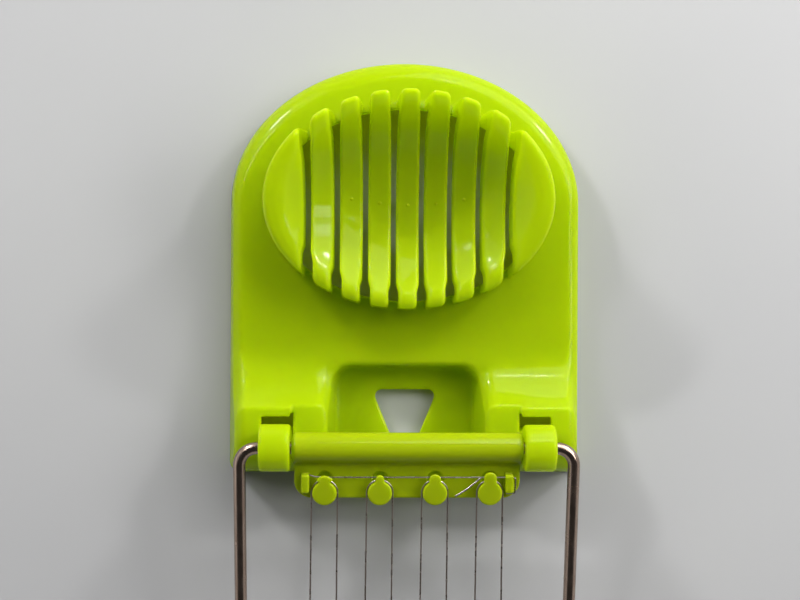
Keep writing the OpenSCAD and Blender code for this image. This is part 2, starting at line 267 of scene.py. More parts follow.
def make_piece(
    name: str, points: Array, faces: Array, finish: "Finish", body: Body, nodes: tuple[str, ...]
) -> bpy.types.Object:
    """Puts points and faces into a mesh object.

    Args:
        name: Name of the piece.
        points: N by 3 array of places in the shared frame, in millimetres.
        faces: M by 4 array of indices, with the last index repeated for a triangle.
        finish: Its finish.
        body: The body that it rides on.
        nodes: The CAD nodes that it stands for.

    Returns:
        The new object.
    """
    mesh = bpy.data.meshes.new(name)
    mesh.vertices.add(len(points))
    mesh.vertices.foreach_set("co", (points * MM).astype(np.float32).ravel())
    flat = faces[faces[:, 2] == faces[:, 3]][:, :3]
    four = faces[faces[:, 2] != faces[:, 3]]
    starts = np.concatenate([np.arange(len(four)) * 4, len(four) * 4 + np.arange(len(flat)) * 3])
    loops = np.concatenate([four.ravel(), flat.ravel()])
    mesh.loops.add(len(loops))
    mesh.loops.foreach_set("vertex_index", loops.astype(np.int32))
    mesh.polygons.add(len(starts))
    mesh.polygons.foreach_set("loop_start", starts.astype(np.int32))
    mesh.polygons.foreach_set("use_smooth", np.ones(len(starts), bool))
    mesh.update(calc_edges=True)
    mesh.validate()
    obj = bpy.data.objects.new(name, mesh)
    bpy.context.scene.collection.objects.link(obj)
    obj.data.materials.append(finish.material())
    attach(obj, body.value)
    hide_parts(*nodes)
    log.info("%s: %d points, %d faces", name, len(points), len(starts))
    return obj


# a rounded cap: its rings, its depth and the size of its tip, both as shares of the radius
CAP_RINGS = 4
CAP_DEPTH = 0.35
CAP_TIP = 1e-3


def carry(path: Array, normal: Array, r: float, sides: int) -> tuple[Array, Array]:
    """A round section carried along a path, closed at both ends by a rounded cap.

    A point is the path's point, plus r times the cosine of the angle along the normal, plus r times its
    sine along the cross product of the tangent and the normal. At each end the section shrinks to a
    point over a quarter of an ellipse.

    Args:
        path: N by 3 points.
        normal: A direction that is nowhere along the path, or one for each point.
        r: Radius of the section.
        sides: Points round the section.

    Returns:
        Points and four-sided faces.
    """
    tangent = np.gradient(path, axis=0)
    tangent /= np.linalg.norm(tangent, axis=1)[:, None]
    across = np.cross(tangent, np.broadcast_to(normal, path.shape))
    across /= np.linalg.norm(across, axis=1)[:, None]
    up = np.cross(across, tangent)
    cap = np.linspace(0.0, pi / 2, CAP_RINGS + 1)[1:]
    scale = np.concatenate([np.cos(cap)[::-1], np.ones(len(path)), np.cos(cap)])
    shift = np.concatenate([-np.sin(cap)[::-1], np.zeros(len(path)), np.sin(cap)]) * r * CAP_DEPTH
    first, last = np.zeros(CAP_RINGS, int), np.full(CAP_RINGS, len(path) - 1)
    pick = np.concatenate([first, np.arange(len(path)), last])
    angle = np.linspace(0.0, 2 * pi, sides, endpoint=False)[:, None]
    middle = path[pick] + tangent[pick] * shift[:, None]
    ring = np.cos(angle)[..., None] * up[pick] + np.sin(angle)[..., None] * across[pick]
    return join_grid(middle[None] + r * np.maximum(scale, CAP_TIP)[None, :, None] * ring)


def join_grid(points: Array) -> tuple[Array, Array]:
    """Joins a grid of points that closes round its first axis, and fills its two end rings.

    Args:
        points: N round by M along by 3.

    Returns:
        The points in one list with the two ends' middles added, and four-sided faces.
    """
    n, m = points.shape[:2]
    i, j = np.meshgrid(np.arange(n), np.arange(m - 1), indexing="ij")
    k = (i + 1) % n
    faces = np.stack([i * m + j, i * m + j + 1, k * m + j + 1, k * m + j], -1).reshape(-1, 4)
    flat = points.reshape(-1, 3)
    ends = np.stack([points[:, 0].mean(0), points[:, -1].mean(0)])
    a, b = np.arange(n), (np.arange(n) + 1) % n
    near, far = np.full(n, n * m), np.full(n, n * m + 1)
    first = np.stack([a * m, b * m, near, near], 1)
    last = np.stack([b * m + m - 1, a * m + m - 1, far, far], 1)
    return np.concatenate([flat, ends]), np.concatenate([faces, first, last])


def bend(cx: float, cy: float, r: float, start: float, end: float, count: int) -> Array:
    """Points on an arc about (cx, cy), from one angle in degrees to another."""
    a = np.radians(np.linspace(start, end, count))
    return np.stack([cx + r * np.cos(a), cy + r * np.sin(a)], 1)


def straight(x0: float, y0: float, x1: float, y1: float, count: int) -> Array:
    """Points on a straight line, its ends left out."""
    t = np.linspace(0.0, 1.0, count + 2)[1:-1, None]
    return (1 - t) * np.array([[x0, y0]]) + t * np.array([[x1, y1]])


# ---- finishes ----


class Nodes:
    """Short calls for building a tree of nodes."""

    NOISE_LOW = 0.3
    NOISE_HIGH = 0.7

    def __init__(self, tree: bpy.types.NodeTree) -> None:
        """Keeps the tree and adds its coordinates."""
        self.tree = tree
        self.coords = tree.nodes.new("ShaderNodeTexCoord")

    def add(self, kind: str, **values: object) -> bpy.types.Node:
        """A new node, with the given values on its properties or on its inputs.

        Args:
            kind: Blender's name for the kind of node.
            values: What is set, by name, with _ for a space.

        Returns:
            The node.
        """
        node = self.tree.nodes.new(kind)
        for key, value in values.items():
            if hasattr(node, key):
                setattr(node, key, value)
            else:
                node.inputs[key.replace("_", " ")].default_value = value
        return node

    def link(self, a: Socket, b: Socket) -> None:
        """Joins an output to an input."""
        self.tree.links.new(a, b)

    def reckon(self, operation: str, a: Socket, b: Socket) -> Socket:
        """One sum on two values.

        Args:
            operation: Blender's name for the sum.
            a: The first value.
            b: The second value.

        Returns:
            The result.
        """
        node = self.add("ShaderNodeMath", operation=operation)
        self.link(a, node.inputs[0])
        self.link(b, node.inputs[1])
        return node.outputs["Value"]

    def spread(self, value: Socket, source: tuple[float, float], target: tuple[float, float],
               kind: str = "LINEAR") -> Socket:
        """A value moved from one range to another and held within it.

        Args:
            value: The value.
            source: Ends of the range that it comes from.
            target: Ends of the range that it goes to.
            kind: LINEAR, or SMOOTHSTEP for soft ends.

        Returns:
            The moved value.
        """
        node = self.add("ShaderNodeMapRange", From_Min=source[0], From_Max=source[1],
                        To_Min=target[0], To_Max=target[1])
        node.interpolation_type = kind
        self.link(value, node.inputs["Value"])
        return node.outputs["Result"]

    def noise(self, scale: float, detail: float = 2.0, stretch: Triple = (1.0, 1.0, 1.0)) -> Socket:
        """Noise on the object's own coordinates.

        Args:
            scale: Waves to a metre.
            detail: How many finer layers it has.
            stretch: Its scale along each axis.

        Returns:
            The noise, most of it from 0.3 to 0.7.
        """
        mapping = self.add("ShaderNodeMapping", Scale=stretch)
        self.link(self.coords.outputs["Object"], mapping.inputs["Vector"])
        tex = self.add("ShaderNodeTexNoise", Scale=scale, Detail=detail)
        self.link(mapping.outputs["Vector"], tex.inputs["Vector"])
        return tex.outputs["Fac"]

    def between(self, noise: Socket, low: float, high: float) -> Socket:
        """Noise spread over low to high."""
        return self.spread(noise, (self.NOISE_LOW, self.NOISE_HIGH), (low, high))

    def blend(self, fac: Socket, ends: tuple[float, float], first: Triple, second: Triple) -> Socket:
        """A drift from one colour to another.

        Args:
            fac: What the drift follows.
            ends: Where on it the first colour ends and the second starts.
            first: The first colour.
            second: The second colour.

        Returns:
            The colour.
        """
        node = self.add("ShaderNodeValToRGB")
        for element, at, colour in zip(node.color_ramp.elements, ends, (first, second)):
            element.position = at
            element.color = (*colour, 1.0)
        self.link(fac, node.inputs["Fac"])
        return node.outputs["Color"]

    def seen(self, level: Socket) -> Socket:
        """The level for rays from the camera, off gloss and through a clear part, and nought for the rest.

        Args:
            level: A brightness.

        Returns:
            The level times the largest of the three ray tests.
        """
        rays = self.add("ShaderNodeLightPath").outputs
        mask = self.reckon("MAXIMUM", rays["Is Camera Ray"], rays["Is Glossy Ray"])
        mask = self.reckon("MAXIMUM", mask, rays["Is Transmission Ray"])
        return self.reckon("MULTIPLY", level, mask)


class SurfaceNodes(Nodes):
    """The nodes of a new material, round its shader."""

    def __init__(self, name: str) -> None:
        """Starts the material."""
        self.mat = bpy.data.materials.new(name)
        self.mat.use_nodes = True
        super().__init__(self.mat.node_tree)
        self.shader = self.tree.nodes["Principled BSDF"]

    def bump(self, height: Socket, strength: float, distance: float) -> None:
        """Relief on the surface.

        Args:
            height: What the relief follows.
            strength: How much of it shows.
            distance: How high it stands, in metres.
        """
        node = self.add("ShaderNodeBump", Strength=strength, Distance=distance)
        self.link(height, node.inputs["Height"])
        self.link(node.outputs["Normal"], self.shader.inputs["Normal"])

    def let_through(self, colour: Triple, share: float) -> None:
        """Mixes in soft light that passes through the surface.

        Args:
            colour: Colour of that light.
            share: Its share of the whole.
        """
        soft = self.add("ShaderNodeBsdfTranslucent", Color=(*colour, 1.0))
        mix = self.add("ShaderNodeMixShader", Fac=share)
        self.link(self.shader.outputs["BSDF"], mix.inputs[1])
        self.link(soft.outputs["BSDF"], mix.inputs[2])
        self.link(mix.outputs["Shader"], self.tree.nodes["Material Output"].inputs["Surface"])

    def drive(self, **sockets: Socket) -> None:
        """Joins outputs to the shader's inputs by name."""
        for key, socket in sockets.items():
            self.link(socket, self.shader.inputs[key.replace("_", " ")])

    def set(self, **values: object) -> None:
        """Values on the shader's own sockets."""
        for key, value in values.items():
            self.shader.inputs[key.replace("_", " ")].default_value = value


@dataclass(frozen=True)
class Finish(ABC):
    """A material, made once and shared."""

    name: str
    slot: Slot

    def material(self) -> bpy.types.Material:
        """The finish's material, made the first time it is asked for."""
        return bpy.data.materials.get(self.name) or self.dress()

    @abstractmethod
    def dress(self) -> bpy.types.Material:
        """Makes the material."""


@dataclass(frozen=True)
class GlossPlastic(Finish):
    """Glossy injection-moulded plastic, slightly cloudy, with the faint waves of a moulded surface."""

    colour: Triple = (0.485, 0.63, 0.006)
    deep: Triple = (0.455, 0.60, 0.005)
    through: Triple = (0.88, 1.0, 0.002)
    share: float = 0.41
    gloss: float = 0.05
    gloss_drift: float = 0.025
    tint_scale: float = 22.0
    tint_ends: tuple[float, float] = (0.35, 0.65)
    gloss_scale: float = 180.0
    wave_scale: float = 70.0
    wave_strength: float = 0.12
    wave_height: float = 0.0004
    scatter: Triple = (0.9, 1.0, 0.1)
    scatter_depth: float = 0.003
    ior: float = 1.46
    specular: float = 0.2

    def dress(self) -> bpy.types.Material:
        """Colour drifts between two limes, gloss varies finely, and long waves bend the highlights."""
        n = SurfaceNodes(self.name)
        tint = n.blend(n.noise(self.tint_scale, detail=3.0), self.tint_ends, self.deep, self.colour)
        rough = n.between(n.noise(self.gloss_scale, detail=4.0), self.gloss, self.gloss + self.gloss_drift)
        n.drive(Base_Color=tint, Roughness=rough)
        n.bump(n.noise(self.wave_scale), self.wave_strength, self.wave_height)
        n.set(Subsurface_Weight=1.0, Subsurface_Radius=self.scatter, Subsurface_Scale=self.scatter_depth,
              IOR=self.ior, Specular_IOR_Level=self.specular)
        n.let_through(self.through, self.share)
        return n.mat


@dataclass(frozen=True)
class DrawnSteel(Finish):
    """Polished drawn steel, with fine lines along the draw; its dark, brownish tones are a painted
    reflection of dim surroundings, darker than polished steel itself.
    """

    # dark brownish tones: painted reflection of dim surroundings, not the steel's own brightness
    colour: Triple = (0.35, 0.25, 0.195)
    light: Triple = (0.45, 0.345, 0.28)
    rough: float = 0.16
    line_scale: float = 1600.0
    line_stretch: Triple = (1.0, 0.06, 1.0)
    line_strength: float = 0.08
    line_height: float = 0.0001
    rough_drift: float = 0.12
    rough_scale: float = 260.0

    def dress(self) -> bpy.types.Material:
        """Tone and relief follow noise that is stretched along the length of the bow, and gloss follows
        noise of its own.
        """
        n = SurfaceNodes(self.name)
        lines = n.noise(self.line_scale, detail=3.0, stretch=self.line_stretch)
        tone = n.blend(lines, (n.NOISE_LOW, n.NOISE_HIGH), self.colour, self.light)
        rough = n.between(n.noise(self.rough_scale, detail=4.0), self.rough, self.rough + self.rough_drift)
        n.drive(Base_Color=tone, Roughness=rough)
        n.bump(lines, self.line_strength, self.line_height)
        n.set(Metallic=1.0)
        return n.mat


PLASTIC = GlossPlastic("lime_moulding", Slot.PLASTIC)
THICK = GlossPlastic("lime_thick_moulding", Slot.PLASTIC, colour=(0.37, 0.465, 0.006),
                     deep=(0.35, 0.445, 0.005), through=(0.86, 1.0, 0.002), share=0.14)
ROD_STEEL = DrawnSteel("polished_rod", Slot.ROD)
# the wire's dark tones are a painted reflection of dim surroundings as well
WIRE_STEEL = DrawnSteel("cutting_wire_steel", Slot.WIRE, colour=(0.33, 0.275, 0.24),
                        light=(0.40, 0.34, 0.30), rough=0.22, line_scale=500.0)


# ---- the base ----


@dataclass
class CradleShape:
    """The oval cradle: outer skirt, sloping rim, egg-shaped bowl and cutting slots."""

    width: float = 65.5
    length: float = 48.3
    middle_y: float = 63.7
    deck_h: float = 9.5
    skirt_t: float = 1.9
    skirt_draft: float = 0.02
    rim_low: float = 20.1
    rim_high: float = 33.3
    bowl_y: float = 59.7
    bowl_z: float = 41.64
    bowl_r: float = 27.0
    bowl_half_l: float = 34.8
    rib_t: float = 5.0
    slot_count: int = 8
    slot_pitch: float = 6.45
    slot_w: float = 1.2
    slot_top_w: float = 2.4
    slot_fan: float = 0.0019
    fan_z: float = 15.0
    bulb: float = 0.95
    foot_r: float = 2.0
    sill_h: float = 1.2
    sill_run: float = 3.9
    sill_past: float = 0.5

    def outline(self, x: Array, y: Array) -> Array:
        """Field of the cradle's oval, seen from above."""
        return ellipse(x, y - self.middle_y, self.width / 2, self.length / 2)

    def skirt(self, x: Array, y: Array, z: Array) -> Array:
        """Field of everything inside the skirt, which leans out a little and meets the deck over a fillet.

        The ellipse grows by the draft times the depth under the rim, and by the fillet's reach at that
        height: its radius less the root of its radius squared less the square of what is left of its radius.

        Args:
            x: X of each point.
            y: Y, from the base's rear edge.
            z: Z.

        Returns:
            The field.
        """
        rise = np.clip(z - self.deck_h, 0.0, self.foot_r)
        reach = self.foot_r - np.sqrt(self.foot_r**2 - (self.foot_r - rise) ** 2 + NEARLY_NOUGHT)
        return self.outline(x, y) - self.skirt_draft * (self.rim_low - z) - reach

    def sill(self, x: Array, y: Array, z: Array) -> Array:
        """Field of the low sill at the foot of the skirt, which the slots leave standing.

        Its top rises inward from the deck as a parabola: the square of the way in, over the square of the
        whole run, times the sill's height.

        Args:
            x: X of each point.
            y: Y, from the base's rear edge.
            z: Z.

        Returns:
            The field.
        """
        start = self.outline(x, y) - self.sill_run + self.skirt_t
        t = np.clip(-start, 0.0, self.sill_run + self.sill_past) / self.sill_run
        top = (z - self.deck_h - self.sill_h * t**2) / np.hypot(1.0, 2 * self.sill_h * t / self.sill_run)
        return np.maximum(top, start)

    def opening(self, x: Array, y: Array, z: Array) -> Array:
        """Field of the hollow inside the skirt."""
        return self.outline(x, y) - self.skirt_draft * (self.rim_low - z) + self.skirt_t

    def rim(self, y: Array, z: Array) -> Array:
        """Field of everything under the sloping plane of the rim.

        Args:
            y: Y of each point, from the base's rear edge.
            z: Z.

        Returns:
            The field.
        """
        rise = (self.rim_high - self.rim_low) / self.length
        level = self.rim_low + rise * (y - self.middle_y + self.length / 2)
        return (z - level) / np.hypot(1.0, rise)

    def bowl(self, x: Array, y: Array, z: Array) -> Array:
        """Field of the egg shape: an ellipsoid of revolution about X, its own equation over its slope.

        Args:
            x: X of each point.
            y: Y, from the base's rear edge.
            z: Z.

        Returns:
            The field.
        """
        p = (x / self.bowl_half_l, (y - self.bowl_y) / self.bowl_r, (z - self.bowl_z) / self.bowl_r)
        f = np.sqrt(p[0] ** 2 + p[1] ** 2 + p[2] ** 2)
        slope = np.sqrt((p[0] / self.bowl_half_l) ** 2 + (p[1] ** 2 + p[2] ** 2) / self.bowl_r**2)
        return (f - 1.0) * f / np.maximum(slope, LEAST_SLOPE)

    def bowl_height(self, x: Array, y: Array) -> Array:
        """Height of the bowl's surface."""
        left = 1.0 - (x / self.bowl_half_l) ** 2 - ((y - self.bowl_y) / self.bowl_r) ** 2
        return self.bowl_z - self.bowl_r * np.sqrt(np.maximum(left, 0.0))


@dataclass
class BaseShell(Moulding):
    """Deck, drafted walls, shoulders with the recess between them, and hinge lugs, all one wall thick."""

    cradle: CradleShape
    rear: float
    name: str = "base_moulding"
    width: float = 84.0
    length: float = 98.5
    arch_rise: float = 34.0
    deck_h: float = 9.5
    wall: float = 2.0
    draft: float = 0.164
    edge_r: float = 2.5
    arch_edge_r: float = 4.1
    arch_edge_y: tuple[float, float] = (62.0, 84.0)
    foot_r: float = 0.3
    # the shoulders, and the sweep that joins them to the deck
    shoulder_h: float = 17.0
    shoulder_r: float = 0.35
    sweep_l: float = 15.0
    sweep_end: float = 31.8
    turn_in: float = 20.7
    turn_in_run: float = 2.3
    turn_out: float = 36.8
    turn_out_run: float = 2.6
    turn_most: float = 0.97
    turn_back: float = 2.3
    turn_y: float = 28.0
    turn_fade: float = 4.0
    pad_x: float = 26.4
    pad_step: float = 0.2
    pad_drop: float = 0.7
    rear_round: float = 8.5
    # the recess between the shoulders, and its triangular hole
    recess_half_w: float = 16.4
    recess_l: float = 25.4
    recess_floor: float = 3.0
    recess_draft: float = 0.143
    recess_corner_r: float = 4.5
    recess_floor_r: float = 1.0
    recess_top_r: float = 0.8
    recess_edge_r: float = 1.0
    lip_h: float = 10.0
    lip_y: float = 2.2
    lip_draft: float = 0.5
    lip_r: float = 2.0
    open_y: float = 8.0
    hole_near: float = 19.6
    hole_far: float = 5.3
    hole_lean: float = 0.41
    hole_half_w: float = 2.0
    hole_r: float = 2.4
    hole_edge_r: float = 0.4
    cradle_edge_r: float = 0.25
    # the windows and slits round the lugs
    window_in: float = 26.0
    window_near: float = 11.0
    window_far: float = 14.75
    window_floor: float = 8.0
    window_r: float = 0.3
    window_edge_r: float = 0.15
    slit_out: float = 26.7
    slit_near: float = 5.0
    slit_far: float = 15.5
    slit_r: float = 0.1
    # the lugs
    axis_y: float = 8.2
    axis_h: float = 22.0
    lug_r: float = 5.3
    lug_in: float = 26.35
    lug_out: float = 33.3
    lug_foot: float = 7.5
    lug_edge_r: float = 0.6
    lug_fillet_r: float = 0.25
    post_half_w: float = 3.6
    post_fillet_r: float = 1.0
    bore_r: float = 1.5
    bore_edge_r: float = 0.15
    # the grid
    step: float = 0.5
    low: Triple = (-42.6, -0.6, -0.7)
    high: Triple = (42.6, 99.1, 28.0)

    def walls(self, x: Array, y: Array, z: Array) -> Array:
        """Field inside the two straight sides and the half ellipse of the arch, leaning in with height.

        Args:
            x: X of each point.
            y: Y, from the base's rear edge.
            z: Z.

        Returns:
            The field.
        """
        sides = np.abs(x) - self.width / 2
        arch_y = y - (self.length - self.arch_rise)
        arch = ellipse(x, arch_y, self.width / 2, self.arch_rise)
        return (np.where(arch_y > 0, arch, sides) + self.draft * z) / np.hypot(1.0, self.draft)

    def top(self, x: Array, y: Array, z: Array) -> Array:
        """Field under the deck, the hollow sweep and the shoulders' tops, rounded down at the rear.

        The sweep is a cylinder lying across the base, tangent to the deck: its radius is the square of its
        length plus the square of its rise, over twice its rise. Near a shoulder's sides its end turns back
        along a quarter of an ellipse.

        Args:
            x: X of each point.
            y: Y, from the base's rear edge.
            z: Z.

        Returns:
            The field.
        """
        rise = self.shoulder_h - self.deck_h
        radius = (self.sweep_l**2 + rise**2) / (2 * rise)
        ax = np.abs(x)
        inner, outer = (self.turn_in - ax) / self.turn_in_run, (ax - self.turn_out) / self.turn_out_run
        turn = np.clip(np.maximum(inner, outer), 0.0, self.turn_most)
        back = self.turn_back * (1.0 - np.sqrt(1.0 - turn**2))
        end = self.sweep_end - back * step_between(self.turn_y - y, 0.0, self.turn_fade)
        sweep = radius - np.hypot(y - end, z - self.deck_h - radius)
        sweep = np.where(y < end, sweep, z - self.deck_h)
        level = self.shoulder_h - self.pad_drop * step_between(self.pad_x - ax, 0.0, self.pad_step)
        rear = (-y + self.draft * z) / np.hypot(1.0, self.draft)
        return both(both(sweep, z - level, self.shoulder_r), rear, self.rear_round)

    def recess(self, x: Array, y: Array, z: Array) -> Array:
        """Field of the open space between the shoulders, and above the low wall at the rear.

        Args:
            x: X of each point.
            y: Y, from the base's rear edge.
            z: Z.

        Returns:
            The field.
        """
        grow = self.recess_draft * (z - self.recess_floor)
        side = np.abs(x) - self.recess_half_w - grow
        pocket = both(side, y - self.recess_l - grow, self.recess_corner_r)
        pocket = both(pocket, self.recess_floor - z, self.recess_floor_r)
        pocket = both(pocket, self.lip_y - y + grow * self.lip_draft, self.lip_r)
        above = both(both(side, y - self.open_y), self.lip_h - z)
        return either(pocket, above, self.recess_top_r)

    def triangle(self, x: Array, y: Array) -> Array:
        """Field of the triangular hole in the recess floor, seen from above.

        Args:
            x: X of each point.
            y: Y, from the base's rear edge.

        Returns:
            The field.
        """
        near, far = self.recess_l - self.hole_near, self.recess_l - self.hole_far
        side = np.abs(x) - self.hole_half_w - self.hole_lean * (y - near)
        return both(side / np.hypot(1.0, self.hole_lean), both(y - far, near - y), self.hole_r)

    def windows(self, x: Array, y: Array, z: Array) -> Array:
        """Field of the window in front of each lug and the slit along its inner side.

        Args:
            x: X of each point.
            y: Y, from the base's rear edge.
            z: Z.

        Returns:
            The field.
        """
        ax = np.abs(x)
        window = both(ax - self.lug_out, self.window_in - ax)
        window = both(window, both(y - self.window_far, self.window_near - y), self.window_r)
        slit = both(ax - self.slit_out, self.window_in - ax)
        slit = both(slit, both(y - self.slit_far, self.slit_near - y), self.slit_r)
        return both(np.minimum(window, slit), self.window_floor - z)

    def lugs(self, x: Array, y: Array, z: Array) -> Array:
        """Field of the two lugs: a barrel about the hinge axis on a post, bored for the rod.

        Args:
            x: X of each point.
            y: Y, from the base's rear edge.
            z: Z.

        Returns:
            The field.
        """
        out = np.hypot(y - self.axis_y, z - self.axis_h)
        post = both(np.abs(y - self.axis_y) - self.post_half_w, z - self.axis_h)
        middle, half = (self.lug_out + self.lug_in) / 2, (self.lug_out - self.lug_in) / 2
        ends = np.abs(np.abs(x) - middle) - half
        lug = both(either(out - self.lug_r, post, self.post_fillet_r), ends, self.lug_edge_r)
        return without(both(lug, self.lug_foot - z), out - self.bore_r, self.bore_edge_r)

    def field(self, x: Array, y: Array, z: Array) -> Array:
        """The outer form, hollowed one wall thick, its openings cut, with its lugs and cradle foot added.

        Args:
            x: X of each point.
            y: Y, in the shared frame.
            z: Z.

        Returns:
            The field.
        """
        y = y - self.rear
        edge = self.edge_r + (self.arch_edge_r - self.edge_r) * step_between(y, *self.arch_edge_y)
        outer = both(self.top(x, y, z), self.walls(x, y, z), edge)
        outer = without(outer, self.recess(x, y, z), self.recess_edge_r)
        outer = np.minimum(outer, self.cradle.sill(x, y, z))
        shell = both(outer, -(outer + self.wall))
        shell = without(shell, self.triangle(x, y), self.hole_edge_r)
        shell = both(shell, -self.cradle.opening(x, y, z), self.cradle_edge_r)
        shell = without(shell, self.windows(x, y, z), self.window_edge_r)
        shell = either(shell, self.lugs(x, y, z), self.lug_fillet_r)
        return both(shell, -z, self.foot_r)


@dataclass
class EggCradle(Moulding):
    """The bowl and skirt above the deck, cut into ribs by the slots."""

    shape: CradleShape
    rear: float
    name: str = "cradle_moulding"
    rim_r: float = 1.2
    bowl_edge_r: float = 1.3
    # the bowl's edge is rounder and the rim a little lower at the far side
    far_y: tuple[float, float] = (68.0, 85.0)
    far_edge_r: float = 1.2
    far_drop: float = 0.4
    hollow_r: float = 1.2
    hollow_edge_r: float = 0.3
    # the slots flare where they come through the skirt, less so at the far side
    flare_y: tuple[float, float] = (55.0, 80.0)
    flare_less: float = 0.7
    flare_depth: tuple[float, float] = (3.3, 5.6)
    # the ribs' edges are rounder near the rim
    rib_edge_r: float = 0.6
    rim_edge_r: float = 0.5
    near_rim: tuple[float, float] = (-4.0, -0.5)
    lift: float = 0.6
    step: float = 0.43
    low: Triple = (-36.5, 36.0, 9.6)
    high: Triple = (36.5, 91.5, 34.2)

    def slots(self, x: Array, y: Array, z: Array) -> Array:
        """Depth outside the nearest slot's walls.

        A slot widens and fans out upward, and flares where it comes through the skirt.

        Args:
            x: X of each point.
            y: Y, from the base's rear edge.
            z: Z.

        Returns:
            Half the slot's width there, less the distance from its middle.
        """
        s = self.shape
        half = s.slot_count // 2
        fan = 1.0 + s.slot_fan * np.maximum(z - s.fan_z, 0.0)
        nearest = (np.clip(np.floor(x / (s.slot_pitch * fan)), -half, half - 1) + 0.5) * s.slot_pitch * fan
        up = np.clip((z - s.fan_z) / (s.rim_high - s.fan_z), 0.0, 1.0)
        wide = s.slot_w + (s.slot_top_w - s.slot_w) * up
        flare = s.bulb - self.flare_less * step_between(y, *self.flare_y)
        flare = flare * (1.0 - step_between(-s.outline(x, y), *self.flare_depth))
        return (wide + flare) / 2 - np.abs(x - nearest)

    def field(self, x: Array, y: Array, z: Array) -> Array:
        """Inside the skirt and under the rim, outside the bowl, and cut into ribs by the slots.

        Args:
            x: X of each point.
            y: Y, in the shared frame.
            z: Z.

        Returns:
            The field.
        """
        s = self.shape
        y = y - self.rear
        rim = s.rim(y, z)
        bowl = s.bowl(x, y, z)
        far = step_between(y, *self.far_y)
        cup = both(s.skirt(x, y, z), rim - self.far_drop * far, self.rim_r)
        cup = without(cup, bowl, self.bowl_edge_r + self.far_edge_r * far)
        hollow = both(s.opening(x, y, z), -(bowl - s.rib_t), self.hollow_r)
        cup = without(cup, hollow, self.hollow_edge_r)
        edge = self.rib_edge_r + self.rim_edge_r * step_between(rim, *self.near_rim)
        cup = both(cup, self.slots(x, y, z), edge)
        return both(cup, s.deck_h + self.lift - z)


@dataclass
class MouldPips:
    """Five tiny domes that the mould's ejector pins left along the middle of the bowl."""

    shape: CradleShape
    rear: float
    r: float = 0.42
    flatness: float = 0.66
    around: int = 16
    down: int = 11
    tip: float = 0.02
    places: tuple = ((-12.9, 64.6), (-6.45, 63.8), (0.0, 63.4), (6.45, 63.8), (12.9, 64.6))

    def build(self) -> None:
        """A pip's point is its middle, plus r times the direction at two angles, flattened by a third."""
        turn, fall = np.meshgrid(np.linspace(0, 2 * pi, self.around, endpoint=False),
                                 np.linspace(self.tip, pi - self.tip, self.down), indexing="ij")
        dome = np.stack([np.cos(turn) * np.sin(fall), np.sin(turn) * np.sin(fall),
                         -self.flatness * np.cos(fall)], -1) * self.r
        points, faces = [], []
        for k, (x, y) in enumerate(self.places):
            z = float(self.shape.bowl_height(np.array(x), np.array(y)))
            p, f = join_grid(dome + np.array([x, y + self.rear, z]))
            points.append(p)
            faces.append(f + k * len(p))
        turned = np.concatenate(faces)[:, ::-1][:, [1, 2, 3, 0]]
        make_piece("mould_pips", np.concatenate(points), turned, PLASTIC, Body.BASE, ())


# ---- the bow ----


@dataclass
class BowPlane:
    """The plane of the legs: x across, u from the hinge axis to the handle, w out of the plane."""

    axis_y: float
    axis_z: float
    length: float = 102.56
    handle_r: float = 3.0

    @property
    def angle(self) -> float:
        """Slope of the open bow, from the height of its axis over the handle."""
        return asin((self.axis_z - self.handle_r) / self.length)

    def place(self, p: Array) -> Array:
        """Points of the plane as points of the shared frame.

        Y is the axis's Y less u times the cosine of the slope, less w times its sine, and Z is the axis's Z
        less u times the sine, plus w times the cosine.

        Args:
            p: N by 3 points (x, u, w).

        Returns:
            N by 3 points (x, y, z).
        """
        c, s = cos(self.angle), sin(self.angle)
        y = self.axis_y - p[:, 1] * c - p[:, 2] * s
        z = self.axis_z - p[:, 1] * s + p[:, 2] * c
        return np.stack([p[:, 0], y, z], 1)

    def direction(self, v: Triple) -> Array:
        """A direction (x, u, w) in the shared frame."""
        return self.place(np.array([v]))[0] - self.place(np.zeros((1, 3)))[0]


@dataclass
class SteelBow:
    """The bent rod: its two ends turn in the lugs, and its cross rod carries the handle."""

    plane: BowPlane
    r: float = 1.4
    sides: int = 40
    leg_x: float = 37.8
    near_r: float = 4.1
    far_r: float = 6.0
    end_x: float = 17.65

    def build(self) -> None:
        """One round section along ends, near bends, legs, far bends and cross rod."""
        n, f, x, far = self.near_r, self.far_r, self.leg_x, self.plane.length
        half = np.concatenate([
            straight(self.end_x, 0.0, x - n, 0.0, count=8),
            bend(x - n, n, n, -90, 0, count=20),
            straight(x, n, x, far - f, count=24),
            bend(x - f, far - f, f, 0, 90, count=20),
            straight(x - f, far, 0.0, far, count=8),
        ])
        path = np.concatenate([half, half[::-1] * np.array([[-1.0, 1.0]])])
        path = self.plane.place(np.column_stack([path, np.zeros(len(path))]))
        points, faces = carry(path, self.plane.direction((0.0, 0.0, 1.0)), self.r, self.sides)
        make_piece("bow_rod", points, faces, ROD_STEEL, Body.FRAME, ("steel_bow",))


